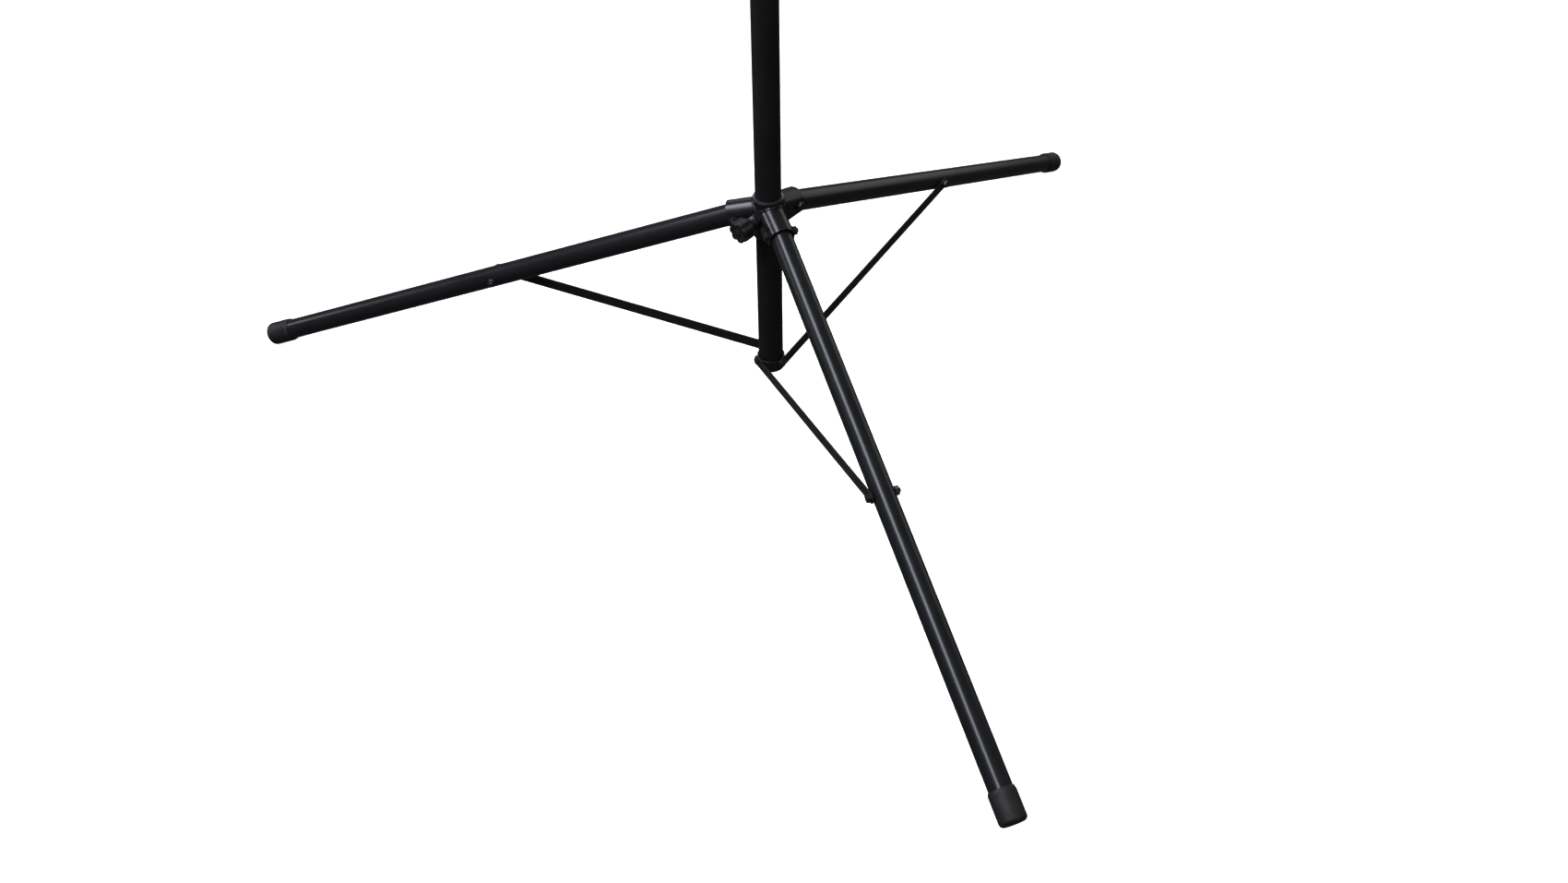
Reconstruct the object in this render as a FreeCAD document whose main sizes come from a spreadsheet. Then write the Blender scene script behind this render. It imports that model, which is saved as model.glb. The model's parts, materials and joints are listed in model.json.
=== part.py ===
import FreeCAD, Part

import math
import os
import re

import Sketcher
from FreeCAD import Placement, Rotation, Vector

# A folding music stand. Three tube legs hinge in sockets on a hub that slides on
# the lower post, and three flat braces tie the legs to a collar on the post's
# lower end. A mast telescopes in the post and carries a tilting desk.
#
# Row frame: the origin is on the post's axis at floor level, +Z is up and the
# player sits on the -Y side. Lengths are millimetres and angles are degrees.

SIZES = {
    # lower post
    "post_od": 25.4,
    "post_wall": 1.5,
    "post_top": 700,
    "plug_flange": 2,
    "plug_spigot": 3.5,
    # legs, with the stand fully open
    "leg_od": 21.3,
    "leg_wall": 1.2,
    "leg_reach": 577,
    "leg_slope": 22.3,
    "leg_stub": 4,
    "leg_clear": 5.85,
    "foot_wall": 1.65,
    "foot_cup": 24,
    "foot_sole": 5,
    "foot_edge": 4,
    # hub
    "sleeve_wall": 1.35,
    "sleeve_above": 22.5,
    "sleeve_below": 20,
    "liner_wall": 1.1,
    "liner_flange": 1,
    "socket_sheet": 1.5,
    "socket_gap": 0.6,
    "socket_rise": 0.8,
    "socket_slope": 15.5,
    "socket_end": 6.5,
    "socket_skirt": 8,
    # brace collar and braces
    "collar_wall": 1.5,
    "collar_above": 5,
    "collar_below": 9,
    "collar_drop": 177.8,
    "brace_at": 279,
    "brace_width": 11.5,
    "brace_sheet": 1.5,
    "brace_gap": 0.3,
    "brace_leg_gap": 0.8,
    # fasteners and fits
    "rivet_od": 5,
    "rivet_brim": 1.75,
    "rivet_head": 2,
    "bolt_od": 5,
    "hex_wall": 1.5,
    "hex_head": 3.5,
    "hex_nut": 4,
    "thread_end": 1.5,
    "pin_gap": 0.1,
    "slide_gap": 0.1,
    "face_gap": 0.3,
    # clamp knobs
    "knob_od": 22,
    "knob_head": 13,
    "knob_neck_wall": 3.5,
    "knob_neck": 5,
    "knob_lobes": 7,
    "knob_scallop": 3.2,
    "screw_od": 6,
    "boss_wall": 4,
    "boss_length": 11.75,
    "boss_up": 4,
    # mast and its clamp
    "guide_wall": 1.1,
    "mast_wall": 1.2,
    "mast_length": 520,
    "mast_inserted": 270,
    "glide_length": 12,
    "clamp_wall": 3.8,
    "clamp_length": 38,
    "clamp_lid": 3,
    "guide_length": 50,
    # tilt head and desk
    "head_wall": 2.5,
    "head_sleeve": 25,
    "head_roof": 5,
    "tilt_height": 25,
    "tab_thick": 8,
    "tab_width": 22,
    "washer_sheet": 1,
    "washer_brim": 6,
    "desk_lean": 25,
    "desk_width": 500,
    "desk_height": 340,
    "desk_sheet": 1.2,
    "desk_fold": 12,
    "desk_bend": 3,
    "ledge_depth": 50,
    "ledge_lip": 12,
    "tilt_above_ledge": 150,
    "desk_standoff": 35,
    "bracket_sheet": 2.5,
    "bracket_width": 60,
    "bracket_height": 90,
    "bracket_inset": 10,
}

# The arms' headings about +Z, and the clamp knobs' headings.
ARMS = {"front": -90, "right": 30, "left": 150}
HUB_KNOB_HEADING = -150
HEIGHT_KNOB_HEADING = 90

# Sizes that follow from the driving ones, as formulas in their names.
POST_R = "post_od / 2"
POST_BORE_R = "(post_od / 2 - post_wall)"
LEG_R = "leg_od / 2"
FOOT_R = "(leg_od / 2 + foot_wall)"
LINER_R = "(post_od / 2 + slide_gap + liner_wall)"
SLEEVE_R = f"({LINER_R} + sleeve_wall)"
PIVOT_X = f"({SLEEVE_R} + leg_clear + {LEG_R})"
COLLAR_R = "(post_od / 2 + collar_wall)"
CLAMP_R = "(post_od / 2 + clamp_wall)"
MAST_R = f"({POST_BORE_R} - guide_wall - slide_gap)"
HEAD_R = f"({MAST_R} + head_wall)"
BOLT_R = "bolt_od / 2"
HEX_R = "(bolt_od + 2 * hex_wall) / sqrt(3)"
RIVET_R = "rivet_od / 2"
RIVET_HEAD_R = "(rivet_od / 2 + rivet_brim)"
SCREW_R = "screw_od / 2"
BOSS_R = "(screw_od / 2 + boss_wall)"
KNOB_NECK_R = "(screw_od / 2 + knob_neck_wall)"
WASHER_R = "(screw_od / 2 + washer_brim)"
HUB_BOSS_REACH = f"({SLEEVE_R} + boss_length)"
CLAMP_BOSS_REACH = f"({CLAMP_R} + boss_length)"
SOCKET_INNER_R = "(leg_od / 2 + socket_gap)"
SOCKET_OUTER_R = "(leg_od / 2 + socket_gap + socket_sheet)"
HUB_Z = (
    "((leg_reach - foot_edge) * sin(leg_slope)"
    " + (leg_od / 2 + foot_wall - foot_edge) * cos(leg_slope) + foot_edge)"
)
COLLAR_Z = f"({HUB_Z} - collar_drop)"
POST_BOTTOM = f"({COLLAR_Z} - collar_below + plug_flange)"
MAST_BOTTOM = "(post_top - mast_inserted)"
MAST_TOP = f"({MAST_BOTTOM} + mast_length)"
TILT_Z = f"({MAST_TOP} + tilt_height)"
CLAMP_SCREW_Z = "(post_top - clamp_length / 2)"
BRACE_COLLAR_Y = f"({COLLAR_R} + brace_gap + brace_sheet / 2)"
BRACE_LEG_Y = "(leg_od / 2 + brace_leg_gap + brace_sheet / 2)"
BRACE_OUT = f"({PIVOT_X} + brace_at * cos(leg_slope))"
BRACE_RISE = "(collar_drop - brace_at * sin(leg_slope))"
BRACE_RUN = f"sqrt({BRACE_OUT}^2 + ({BRACE_COLLAR_Y} - {BRACE_LEG_Y})^2 + {BRACE_RISE}^2)"
EAR_GAP_HALF = "(tab_thick / 2 + washer_sheet + 2 * slide_gap)"

doc = FreeCAD.newDocument("MusicStand")
sheet = doc.addObject("Spreadsheet::Sheet", "Sizes")
for row, (alias, number) in enumerate(SIZES.items(), start=1):
    sheet.set(f"A{row}", alias)
    sheet.set(f"B{row}", str(number))
    sheet.setAlias(f"B{row}", alias)
doc.recompute()

pieces = {}


# ---- formulas and frames ----


def formula(text):
    """Name the sheet's cell wherever a size is named."""
    return re.sub(r"[a-z_]+", lambda m: f"Sizes.{m[0]}" if m[0] in SIZES else m[0], text)


def value(text):
    return float(sheet.evalExpression(formula(text)))


def bind(item, prop, text):
    item.setExpression(prop, formula(text))


def turned(axis, degrees):
    return Rotation(Vector(*axis), degrees)


def hub_frame(heading):
    """Origin on the post's axis at the leg pivots' level, +X along the heading."""
    return Placement(Vector(0, 0, value(HUB_Z)), turned((0, 0, 1), heading))


def leg_frame(heading):
    """Origin at the leg's pivot, +X down along the leg, +Y away from the brace."""
    tilt = Placement(Vector(value(PIVOT_X), 0, 0), turned((0, 1, 0), value("leg_slope")))
    return hub_frame(heading) * tilt


def brace_frame(heading):
    """Origin at the collar rivet, +X along the brace to its bolt in the leg."""
    start = Vector(0, -value(BRACE_COLLAR_Y), -value("collar_drop"))
    out, rise = value(BRACE_OUT), value(BRACE_RISE)
    across = value(f"{BRACE_COLLAR_Y} - {BRACE_LEG_Y}")
    splay = math.degrees(math.atan2(across, out))
    climb = math.degrees(math.atan2(rise, math.hypot(out, across)))
    turn = turned((0, 0, 1), splay) * turned((0, 1, 0), -climb)
    return hub_frame(heading) * Placement(start, turn)


def knob_frame(heading, height):
    """+Z out along the clamp screw, +X up the post, origin on the post's axis."""
    turn = turned((0, 0, 1), heading) * turned((0, 1, 0), 90) * turned((0, 0, 1), 180)
    return Placement(Vector(0, 0, height), turn)


def desk_frame():
    """Origin on the tilt bolt, +Z up the desk and -Y out of its face."""
    return Placement(Vector(0, 0, value(TILT_Z)), turned((1, 0, 0), -value("desk_lean")))


# ---- primitives and booleans ----

TURN_ONTO = {
    "X": turned((0, 1, 0), 90),
    "Y": turned((1, 0, 0), -90),
    "Z": Rotation(),
}


def put(solid, base, along):
    solid.Placement = Placement(Vector(), TURN_ONTO[along])
    for axis, text in zip("xyz", base):
        bind(solid, f"Placement.Base.{axis}", text)
    return solid


def cylinder(label, radius, height, base=("0", "0", "0"), along="Z"):
    solid = doc.addObject("Part::Cylinder", label)
    bind(solid, "Radius", radius)
    bind(solid, "Height", height)
    return put(solid, base, along)


def hexagon(label, height, base, along):
    solid = doc.addObject("Part::Prism", label)
    solid.Polygon = 6
    bind(solid, "Circumradius", HEX_R)
    bind(solid, "Height", height)
    return put(solid, base, along)


def fuse(label, *solids):
    joined = doc.addObject("Part::MultiFuse", label)
    joined.Shapes = list(solids)
    joined.Refine = True
    return joined


def cut(label, base, *tools):
    removed = doc.addObject("Part::Cut", label)
    removed.Base = base
    removed.Tool = tools[0] if len(tools) == 1 else fuse(label + "_tools", *tools)
    return removed


def common(label, base, tool):
    shared = doc.addObject("Part::Common", label)
    shared.Base = base
    shared.Tool = tool
    return shared


# ---- sketches and features ----


def new_body(label):
    return doc.addObject("PartDesign::Body", label)


def sketch_on(body, role, offset="0"):
    plane = [item for item in body.Origin.OriginFeatures if item.Role == role][0]
    sketch = body.newObject("Sketcher::SketchObject", body.Name + "_sketch")
    sketch.AttachmentSupport = [(plane, "")]
    sketch.MapMode = "FlatFace"
    bind(sketch, "AttachmentOffset.Base.z", offset)
    return sketch


def fix_point(sketch, geometry, position, x, y):
    for kind, text in (("DistanceX", x), ("DistanceY", y)):
        rule = Sketcher.Constraint(kind, -1, 1, geometry, position, value(text))
        bind(sketch, f"Constraints[{sketch.addConstraint(rule)}]", text)


def fix_radius(sketch, geometry, radius):
    rule = Sketcher.Constraint("Radius", geometry, value(radius))
    bind(sketch, f"Constraints[{sketch.addConstraint(rule)}]", radius)


def outline(sketch, points):
    """A closed polygon whose corners are pairs of formulas."""
    corners = [Vector(value(x), value(y), 0) for x, y in points]
    ends = corners[1:] + corners[:1]
    sides = [sketch.addGeometry(Part.LineSegment(*pair)) for pair in zip(corners, ends)]
    for side, following in zip(sides, sides[1:] + sides[:1]):
        sketch.addConstraint(Sketcher.Constraint("Coincident", side, 2, following, 1))
    for side, (x, y) in zip(sides, points):
        fix_point(sketch, side, 1, x, y)
    return sketch


def circle(sketch, radius, x="0", y="0"):
    centre = Vector(value(x), value(y), 0)
    ring = sketch.addGeometry(Part.Circle(centre, Vector(0, 0, 1), value(radius)))
    fix_point(sketch, ring, 3, x, y)
    fix_radius(sketch, ring, radius)
    return sketch


def arch(sketch, radius, centre, bottom):
    """A half circle on two straight sides, closed along the bottom."""
    r, c, b = value(radius), value(centre), value(bottom)
    ring = Part.Circle(Vector(0, c, 0), Vector(0, 0, 1), r)
    top = sketch.addGeometry(Part.ArcOfCircle(ring, 0, math.pi))
    corners = [Vector(-r, c, 0), Vector(-r, b, 0), Vector(r, b, 0), Vector(r, c, 0)]
    sides = [sketch.addGeometry(Part.LineSegment(*pair)) for pair in zip(corners, corners[1:])]
    sketch.addConstraint(
        [
            Sketcher.Constraint("Tangent", top, 2, sides[0], 1),
            Sketcher.Constraint("Coincident", sides[0], 2, sides[1], 1),
            Sketcher.Constraint("Coincident", sides[1], 2, sides[2], 1),
            Sketcher.Constraint("Tangent", sides[2], 2, top, 1),
            Sketcher.Constraint("Vertical", sides[0]),
            Sketcher.Constraint("Vertical", sides[2]),
        ]
    )
    fix_point(sketch, top, 3, "0", centre)
    fix_radius(sketch, top, radius)
    for position in (1, 2):
        rule = Sketcher.Constraint("DistanceY", -1, 1, sides[1], position, b)
        bind(sketch, f"Constraints[{sketch.addConstraint(rule)}]", bottom)
    return sketch


def pad(sketch, length, symmetric=False):
    body = sketch.getParentGeoFeatureGroup()
    feature = body.newObject("PartDesign::Pad", body.Name + "_pad")
    feature.Profile = sketch
    feature.SideType = "Symmetric" if symmetric else "One side"
    bind(feature, "Length", length)
    sketch.Visibility = False
    doc.recompute()
    return feature


def pocket(sketch, symmetric=False, reverse=False):
    """Cut right through; the volume has to shrink."""
    body = sketch.getParentGeoFeatureGroup()
    before = body.Shape.Volume
    feature = body.newObject("PartDesign::Pocket", body.Name + "_pocket")
    feature.Profile = sketch
    feature.Type = "ThroughAll"
    feature.SideType = "Symmetric" if symmetric else "One side"
    feature.Reversed = reverse
    doc.recompute()
    if feature.Shape.Volume >= before:
        raise RuntimeError(f"{feature.Name} removes nothing")
    return feature


def revolve(sketch, axis="V_Axis"):
    body = sketch.getParentGeoFeatureGroup()
    feature = body.newObject("PartDesign::Revolution", body.Name + "_turning")
    feature.Profile = sketch
    feature.ReferenceAxis = (sketch, [axis])
    feature.Angle = 360
    doc.recompute()
    return feature


def polar(feature, count, axis_role):
    """Repeat a feature round one of the body's own axes."""
    body = feature.getParentGeoFeatureGroup()
    axis = [item for item in body.Origin.OriginFeatures if item.Role == axis_role][0]
    pattern = body.newObject("PartDesign::PolarPattern", body.Name + "_pattern")
    pattern.Originals = [feature]
    pattern.Axis = (axis, [""])
    pattern.Angle = 360
    bind(pattern, "Occurrences", count)
    body.Tip = pattern
    doc.recompute()
    return pattern


def round_edges(feature, wanted, radius, kind="Fillet"):
    """Fillet, or chamfer, the edges that the test picks."""
    body = feature.getParentGeoFeatureGroup()
    edges = enumerate(feature.Shape.Edges, start=1)
    names = [f"Edge{number}" for number, edge in edges if wanted(edge)]
    if not names:
        raise RuntimeError(f"{body.Name} has no such edge")
    rounded = body.newObject("PartDesign::" + kind, body.Name + "_edges")
    rounded.Base = (feature, names)
    bind(rounded, "Radius" if kind == "Fillet" else "Size", radius)
    doc.recompute()
    return rounded


def ring_at(axis, place, radius):
    """Test for a full circle of a radius, centred at a place along an axis."""

    def wanted(edge):
        if not isinstance(edge.Curve, Part.Circle):
            return False
        centre = edge.Curve.Center[axis]
        return abs(centre - place) < 1e-4 and abs(edge.Curve.Radius - radius) < 1e-4

    return wanted


def line_at(axis, corners):
    """Test for a straight edge along an axis through one of the corners."""
    others = [index for index in range(3) if index != axis]

    def wanted(edge):
        ends = [vertex.Point for vertex in edge.Vertexes]
        if len(ends) != 2 or not isinstance(edge.Curve, Part.Line):
            return False
        return any(
            all(abs(end[i] - corner[k]) < 1e-4 for end in ends for k, i in enumerate(others))
            for corner in corners
        )

    return wanted


def keep(node, piece, frame=None):
    """Name a finished piece and put it in its place."""
    piece.Label = node
    if frame:
        piece.Placement = frame
    pieces[node] = piece


def keep_group(node, sources, frames):
    """Identical pieces in one node, a separate solid at each frame."""
    doc.recompute()
    group = doc.addObject("Part::Feature", node)
    copies = []
    for frame in frames:
        for source in sources:
            shape = source.Shape.copy()
            shape.Placement = frame * shape.Placement
            copies.append(shape)
    group.Shape = Part.makeCompound(copies)
    keep(node, group)


# ---- lower post: tube, end plug, brace collar with its rivets ----


def rivet_holes(body):
    """Radial holes at the collar's level, one on the brace side of each arm."""
    hole = circle(sketch_on(body, "YZ_Plane"), RIVET_R, "0", COLLAR_Z)
    polar(pocket(hole), "3", "Z_Axis")


def make_post():
    tube = new_body("post_tube")
    ring = circle(sketch_on(tube, "XY_Plane", POST_BOTTOM), POST_R)
    pad(circle(ring, POST_BORE_R), f"post_top - {POST_BOTTOM}")
    rivet_holes(tube)
    pocket(circle(sketch_on(tube, "XZ_Plane"), f"{SCREW_R} + pin_gap", "0", CLAMP_SCREW_Z))
    keep("post_tube", tube)

    collar = new_body("brace_collar")
    low, high = f"{COLLAR_Z} - collar_below", f"{COLLAR_Z} + collar_above"
    profile = [(POST_R, low), (COLLAR_R, low), (COLLAR_R, high), (POST_R, high)]
    turning = revolve(outline(sketch_on(collar, "XZ_Plane"), profile))
    rims = ring_at(2, value(high), value(COLLAR_R))
    round_edges(turning, rims, "post_wall / 3", "Chamfer")
    rivet_holes(collar)
    keep("brace_collar", collar)

    plug = new_body("post_plug")
    flange, spigot = f"{COLLAR_Z} - collar_below", f"{POST_BOTTOM} + plug_spigot"
    profile = [
        ("0", flange),
        (POST_R, flange),
        (POST_R, POST_BOTTOM),
        (POST_BORE_R, POST_BOTTOM),
        (POST_BORE_R, spigot),
        ("0", spigot),
    ]
    revolve(outline(sketch_on(plug, "XZ_Plane"), profile))
    keep("post_plug", plug)

    rivet = new_body("brace_rivet")
    tail = f"{POST_BORE_R} - rivet_head / 2"
    head = f"{COLLAR_R} + 2 * brace_gap + brace_sheet"
    profile = [
        (tail, "0"),
        (tail, RIVET_R),
        (head, RIVET_R),
        (head, RIVET_HEAD_R),
        (f"{head} + rivet_head / 2", RIVET_HEAD_R),
        (f"{head} + rivet_head", f"{RIVET_HEAD_R} / 2"),
        (f"{head} + rivet_head", "0"),
    ]
    revolve(outline(sketch_on(rivet, "XZ_Plane"), profile), "H_Axis")
    level = Vector(0, 0, value(COLLAR_Z))
    sides = [Placement(level, turned((0, 0, 1), heading - 90)) for heading in ARMS.values()]
    keep_group("brace_rivets", [rivet], sides)


# ---- hub: sleeve, liner, leg sockets, knob boss, pivot bolts and nuts ----


def screw_hole(label, reach, heading=0):
    """A clearance hole for the clamp screw, out from the post's axis."""
    hole = cylinder(label, f"{SCREW_R} + pin_gap", reach, ("0", "0", "boss_up"), "X")
    hole.Placement.Rotation = turned((0, 0, 1), heading) * TURN_ONTO["X"]
    return hole


def socket_form(label, radius, bottom):
    """An arch drawn out along the socket's slope, from the sleeve to its end."""
    form = new_body(label)
    inner_end = f"-{PIVOT_X}"
    pad(
        arch(sketch_on(form, "YZ_Plane", inner_end), radius, "socket_rise", bottom),
        f"socket_end - ({inner_end})",
    )
    return form


def socket_tilt(heading=0):
    """The socket form's place about its leg's pivot, in the hub's frame."""
    tilt = Placement(
        Vector(value(PIVOT_X), 0, 0), turned((0, 1, 0), value("socket_slope"))
    )
    return Placement(Vector(), turned((0, 0, 1), heading)) * tilt


def make_socket(arm, heading):
    """An arched sheet over the leg's end, kept to its own third round the sleeve."""
    outer = socket_form(f"{arm}_socket_outside", SOCKET_OUTER_R, "-2 * socket_skirt")
    inner = socket_form(f"{arm}_socket_inside", SOCKET_INNER_R, "-3 * socket_skirt")
    outer.Placement = socket_tilt()
    inner.Placement = socket_tilt()
    span = f"2 * {PIVOT_X}"
    sector = new_body(f"{arm}_socket_sector")
    third = [
        ("slide_gap", "0"),
        (span, f"-({span} - slide_gap) * tan(60)"),
        (span, f"({span} - slide_gap) * tan(60)"),
    ]
    pad(outline(sketch_on(sector, "XY_Plane", "-socket_skirt"), third), span)
    core = cylinder(f"{arm}_socket_core", SLEEVE_R, span, ("0", "0", f"-{PIVOT_X}"))
    bolt = cylinder(
        f"{arm}_socket_bolt", BOLT_R, span, (PIVOT_X, f"-{PIVOT_X}", "0"), "Y"
    )
    screw = screw_hole(f"{arm}_socket_screw", HUB_BOSS_REACH, HUB_KNOB_HEADING - heading)
    shell = cut(f"{arm}_socket_shell", outer, inner, core, bolt, screw)
    keep(f"socket_{arm}", common(f"socket_{arm}", shell, sector), hub_frame(heading))


def make_pivot_fasteners():
    face = SOCKET_OUTER_R
    grip = f"2 * {SOCKET_OUTER_R} + hex_nut + thread_end"
    shank = cylinder("pivot_shank", BOLT_R, grip, (PIVOT_X, f"-{face}", "0"), "Y")
    head = hexagon(
        "pivot_head", "hex_head", (PIVOT_X, f"-{face} - hex_head", "0"), "Y"
    )
    bolt = fuse("pivot_bolt", shank, head)
    blank = hexagon("pivot_nut_blank", "hex_nut", (PIVOT_X, face, "0"), "Y")
    thread = cylinder("pivot_thread", BOLT_R, "hex_nut", (PIVOT_X, face, "0"), "Y")
    nut = cut("pivot_nut", blank, thread)
    frames = [hub_frame(heading) for heading in ARMS.values()]
    keep_group("leg_pivot_bolts", [bolt], frames)
    keep_group("leg_pivot_nuts", [nut], frames)


def make_hub():
    knob_side = hub_frame(HUB_KNOB_HEADING)
    length = "sleeve_above + sleeve_below"
    wall = cylinder("sleeve_wall", SLEEVE_R, length, ("0", "0", "-sleeve_below"))
    bore = cylinder("sleeve_bore", LINER_R, length, ("0", "0", "-sleeve_below"))
    gate = screw_hole("sleeve_hole", SLEEVE_R)
    keep("hub_sleeve", cut("hub_sleeve", wall, bore, gate), knob_side)

    liner = new_body("liner_turning")
    inner, lip = f"{POST_R} + slide_gap", f"({SLEEVE_R} - liner_flange)"
    profile = [
        (inner, "-sleeve_below"),
        (LINER_R, "-sleeve_below"),
        (LINER_R, "sleeve_above"),
        (lip, "sleeve_above"),
        (lip, "sleeve_above + liner_flange"),
        (inner, "sleeve_above + liner_flange"),
    ]
    revolve(outline(sketch_on(liner, "XZ_Plane"), profile))
    keep("hub_liner", cut("hub_liner", liner, screw_hole("liner_hole", SLEEVE_R)), knob_side)

    for arm, heading in ARMS.items():
        make_socket(arm, heading)

    boss = cylinder("boss_blank", BOSS_R, HUB_BOSS_REACH, ("0", "0", "boss_up"), "X")
    core = cylinder("boss_core", SLEEVE_R, length, ("0", "0", "-sleeve_below"))
    neighbours = []
    for side in (-60, 60):
        form = socket_form(f"boss_side_{side + 60}", SOCKET_OUTER_R, "-2 * socket_skirt")
        form.Placement = socket_tilt(side)
        neighbours.append(form)
    hole = screw_hole("boss_hole", HUB_BOSS_REACH)
    keep("hub_boss", cut("hub_boss", boss, core, hole, *neighbours), knob_side)
    make_pivot_fasteners()


# ---- clamp knobs: lobed head and screw ----


def make_knob(label, grip):
    """A lobed head with a neck, turned up along +Z from the height of its grip."""
    head = new_body(label)
    neck_top = f"{grip} + knob_neck"
    pad(circle(sketch_on(head, "XY_Plane", grip), KNOB_NECK_R), "knob_neck")
    disc = pad(circle(sketch_on(head, "XY_Plane", neck_top), "knob_od / 2"), "knob_head")
    top = ring_at(2, value(f"{neck_top} + knob_head"), value("knob_od / 2"))
    round_edges(disc, top, "knob_head / 8")
    scallop = circle(
        sketch_on(head, "XY_Plane", neck_top), "knob_scallop", "knob_od / 2 + knob_scallop / 2"
    )
    polar(pocket(scallop, reverse=True), "knob_lobes", "Z_Axis")
    return head


def make_clamp_knob(prefix, frame, grip, tip):
    """The knob's head over its boss, with a screw that reaches in to the tip."""
    head = make_knob(f"{prefix}_knob_blank", grip)
    depth = f"{grip} + knob_neck + knob_head / 2 - ({tip})"
    socket = cylinder(f"{prefix}_insert", SCREW_R, depth, ("0", "0", tip))
    keep(f"{prefix}_knob", cut(f"{prefix}_knob", head, socket), frame)
    screw = new_body(f"{prefix}_screw")
    pad(circle(sketch_on(screw, "XY_Plane", tip), SCREW_R), depth)
    keep(f"{prefix}_screw", screw, frame)


def make_clamp_knobs():
    hub_level = value(f"{HUB_Z} + boss_up")
    hub_side = knob_frame(HUB_KNOB_HEADING, hub_level)
    make_clamp_knob("hub", hub_side, f"{HUB_BOSS_REACH} + face_gap", f"{POST_R} + face_gap")
    mast_side = knob_frame(HEIGHT_KNOB_HEADING, value(CLAMP_SCREW_Z))
    make_clamp_knob("height", mast_side, f"{CLAMP_BOSS_REACH} + face_gap", f"{MAST_R} + face_gap")


# ---- legs: tube, rubber foot, brace bolt and nut ----


def make_leg(arm, heading):
    frame = leg_frame(heading)
    tube = new_body(f"leg_{arm}")
    ring = circle(sketch_on(tube, "YZ_Plane", "-leg_stub"), LEG_R)
    pad(circle(ring, f"{LEG_R} - leg_wall"), "leg_reach - foot_sole + leg_stub")
    holes = circle(sketch_on(tube, "XZ_Plane"), f"{BOLT_R} + pin_gap")
    pocket(circle(holes, BOLT_R, "brace_at"), symmetric=True)
    keep(f"leg_{arm}", tube, frame)

    foot = new_body(f"foot_{arm}")
    rim, seat = "leg_reach - foot_sole - foot_cup", "leg_reach - foot_sole"
    profile = [
        (rim, LEG_R),
        (rim, FOOT_R),
        ("leg_reach", FOOT_R),
        ("leg_reach", "0"),
        (seat, "0"),
        (seat, LEG_R),
    ]
    turning = revolve(outline(sketch_on(foot, "XZ_Plane"), profile), "H_Axis")
    sole = ring_at(0, value("leg_reach"), value(FOOT_R))
    round_edges(turning, sole, "foot_edge")
    keep(f"foot_{arm}", foot, frame)

    near, far = f"(-{LEG_R} - face_gap)", f"{LEG_R}"
    grip = f"2 * {LEG_R} + face_gap + hex_nut + thread_end"
    shank = new_body(f"brace_bolt_{arm}")
    bolt = circle(sketch_on(shank, "XZ_Plane", f"-({near}) - ({grip})"), BOLT_R, "brace_at")
    pad(bolt, grip)
    keep(f"brace_bolt_{arm}", shank, frame)
    blank = hexagon(f"brace_nut_blank_{arm}", "hex_nut", ("brace_at", far, "0"), "Y")
    thread = cylinder(f"brace_thread_{arm}", BOLT_R, "hex_nut", ("brace_at", far, "0"), "Y")
    keep(f"brace_nut_{arm}", cut(f"brace_nut_{arm}", blank, thread), frame)


# ---- braces: flat bar and the bolt head that turns with it ----


def make_brace(arm, heading):
    frame = brace_frame(heading)
    bar = new_body(f"brace_{arm}")
    half = "brace_width / 2"
    straight = [("0", f"-{half}"), (BRACE_RUN, f"-{half}"), (BRACE_RUN, half), ("0", half)]
    pad(outline(sketch_on(bar, "XZ_Plane"), straight), "brace_sheet", symmetric=True)
    for x in ("0", BRACE_RUN):
        pad(circle(sketch_on(bar, "XZ_Plane"), half, x), "brace_sheet", symmetric=True)
    holes = circle(sketch_on(bar, "XZ_Plane"), f"{RIVET_R} + pin_gap")
    pocket(circle(holes, BOLT_R, BRACE_RUN), symmetric=True)
    keep(f"brace_{arm}", bar, frame)

    face = "brace_sheet / 2"
    shank = cylinder(
        f"brace_head_shank_{arm}", BOLT_R, "brace_sheet", (BRACE_RUN, f"-{face}", "0"), "Y"
    )
    head = hexagon(
        f"brace_head_hex_{arm}", "hex_head", (BRACE_RUN, f"-{face} - hex_head", "0"), "Y"
    )
    keep(f"brace_head_{arm}", fuse(f"brace_head_{arm}", shank, head), frame)


# ---- mast: clamp and guide on the post, inner tube, glide, tilt head ----


def make_height_clamp():
    ring = new_body("height_clamp_ring")
    low, high = "post_top - clamp_length", "post_top + clamp_lid"
    profile = [
        (POST_R, low),
        (CLAMP_R, low),
        (CLAMP_R, high),
        (f"{MAST_R} + slide_gap", high),
        (f"{MAST_R} + slide_gap", "post_top"),
        (POST_R, "post_top"),
    ]
    turning = revolve(outline(sketch_on(ring, "XZ_Plane"), profile))
    for place in (low, high):
        rim = ring_at(2, value(place), value(CLAMP_R))
        turning = round_edges(turning, rim, "clamp_lid / 2")
    boss = cylinder("clamp_boss", BOSS_R, CLAMP_BOSS_REACH, ("0", "0", CLAMP_SCREW_Z), "Y")
    core = cylinder("clamp_core", POST_R, "clamp_length", ("0", "0", low))
    hole = cylinder(
        "clamp_hole", f"{SCREW_R} + pin_gap", CLAMP_BOSS_REACH, ("0", "0", CLAMP_SCREW_Z), "Y"
    )
    arm = cut("clamp_arm", boss, core)
    keep("height_clamp", cut("height_clamp", fuse("clamp_solid", ring, arm), hole))

    low = "post_top - guide_length"
    wall = cylinder("guide_wall", POST_BORE_R, "guide_length", ("0", "0", low))
    bore = cylinder("guide_bore", f"{MAST_R} + slide_gap", "guide_length", ("0", "0", low))
    gate = cylinder(
        "guide_hole", f"{SCREW_R} + pin_gap", CLAMP_BOSS_REACH, ("0", "0", CLAMP_SCREW_Z), "Y"
    )
    keep("mast_guide", cut("mast_guide", wall, bore, gate))


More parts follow.
